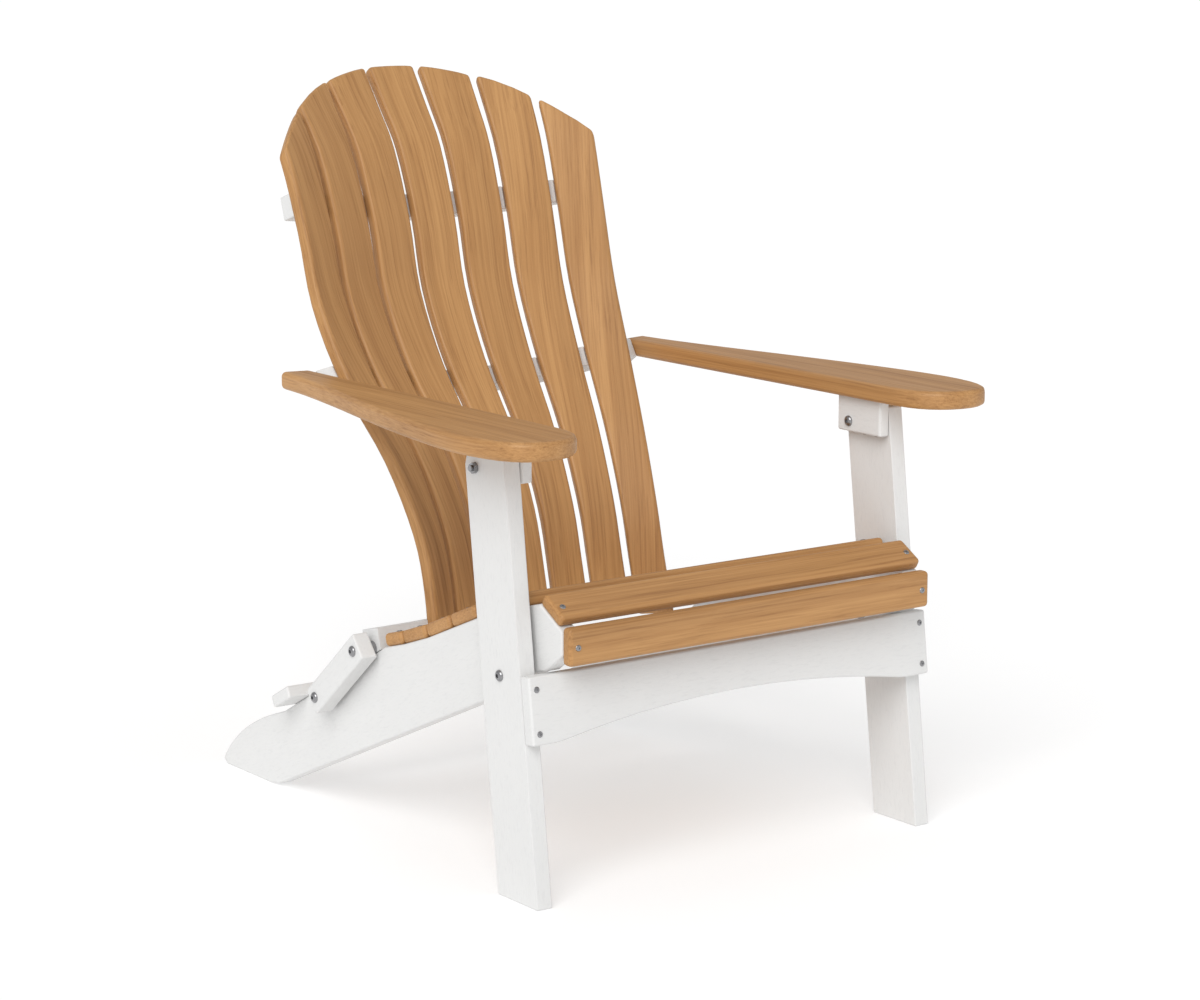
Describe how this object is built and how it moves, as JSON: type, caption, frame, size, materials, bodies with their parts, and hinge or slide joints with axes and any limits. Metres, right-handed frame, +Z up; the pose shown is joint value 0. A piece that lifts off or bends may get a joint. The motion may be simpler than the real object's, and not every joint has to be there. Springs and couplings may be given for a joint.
{
  "type": "adirondack chair",
  "caption": "Folding slatted garden chair with a fan-shaped curved back, wide flat arms, a low sloping seat and a linkage that folds it onto itself.",
  "frame": {"origin": "on the ground below the middle of the chair's bounding box", "axes": "+Z up, the chair faces -Y, +X towards the sitter's left hand"},
  "size_m": [0.8168, 0.9085, 1.015],
  "materials": {
    "teak_lumber": "grained teak-brown poly lumber, satin",
    "white_lumber": "white poly lumber with a fine grain texture, satin",
    "stainless": "plain stainless steel"
  },
  "bodies": {
    "seat_frame": {"stringer_left": "white_lumber", "stringer_right": "white_lumber", "fascia_slat": "teak_lumber", "nose_slat": "teak_lumber", "seat_slat_1": "teak_lumber", "seat_slat_2": "teak_lumber", "seat_slat_3": "teak_lumber", "seat_slat_4": "teak_lumber", "seat_slat_5": "teak_lumber", "tail_slat": "teak_lumber", "rear_stretcher": "white_lumber", "seat_screws": "stainless", "stretcher_screws": "stainless", "leg_pivot_bolts": "stainless", "leg_pivot_nuts": "stainless", "leg_pivot_spacers": "stainless", "link_lower_bolts": "stainless", "link_lower_nuts": "stainless", "link_lower_spacers": "stainless"},
    "front_frame": {"front_leg_left": "white_lumber", "front_leg_right": "white_lumber", "front_apron": "white_lumber", "apron_screws": "stainless", "arm_pivot_bolts": "stainless", "arm_pivot_nuts": "stainless"},
    "left_arm": {"arm_left": "teak_lumber", "arm_block_left": "white_lumber", "block_screws_left": "stainless"},
    "right_arm": {"arm_right": "teak_lumber", "arm_block_right": "white_lumber", "block_screws_right": "stainless"},
    "left_link": {"back_link_left": "white_lumber"},
    "right_link": {"back_link_right": "white_lumber"},
    "back": {"back_slat_1": "teak_lumber", "back_slat_2": "teak_lumber", "back_slat_3": "teak_lumber", "back_slat_4": "teak_lumber", "back_slat_5": "teak_lumber", "back_slat_6": "teak_lumber", "back_slat_7": "teak_lumber", "top_rail": "white_lumber", "mid_rail": "white_lumber", "lower_rail": "white_lumber", "top_rail_screws": "stainless", "mid_rail_screws": "stainless", "lower_rail_screws": "stainless", "link_upper_bolts": "stainless", "link_upper_spacers": "stainless", "arm_rear_pins": "stainless"}
  },
  "joints": [
    {"name": "front_frame_fold", "type": "hinge", "parent": "seat_frame", "child": "front_frame", "pos_m": [0, -0.319, 0.291], "axis": [1, 0, 0], "range_deg": [0, 83]},
    {"name": "left_arm_fold", "type": "hinge", "parent": "front_frame", "child": "left_arm", "pos_m": [0, -0.2674, 0.5507], "axis": [1, 0, 0], "range_deg": [-82.07, 0]},
    {"name": "right_arm_fold", "type": "hinge", "parent": "front_frame", "child": "right_arm", "pos_m": [0, -0.2674, 0.5507], "axis": [1, 0, 0], "range_deg": [-82.07, 0]},
    {"name": "left_link_swing", "type": "hinge", "parent": "seat_frame", "child": "left_link", "pos_m": [0, 0.1353, 0.1694], "axis": [1, 0, 0], "range_deg": [-112.15, 0]},
    {"name": "right_link_swing", "type": "hinge", "parent": "seat_frame", "child": "right_link", "pos_m": [0, 0.1353, 0.1694], "axis": [1, 0, 0], "range_deg": [-112.15, 0]},
    {"name": "back_fold", "type": "hinge", "parent": "left_link", "child": "back", "pos_m": [0, 0.0341, 0.2544], "axis": [1, 0, 0], "range_deg": [0, 200.13]}
  ],
  "couplings": [
    {"joint": "left_arm_fold", "follows": "front_frame_fold", "ratio": -0.9876},
    {"joint": "right_arm_fold", "follows": "front_frame_fold", "ratio": -0.9876},
    {"joint": "left_link_swing", "follows": "front_frame_fold", "ratio": -1.35},
    {"joint": "right_link_swing", "follows": "front_frame_fold", "ratio": -1.35},
    {"joint": "back_fold", "follows": "front_frame_fold", "ratio": 2.41}
  ]
}
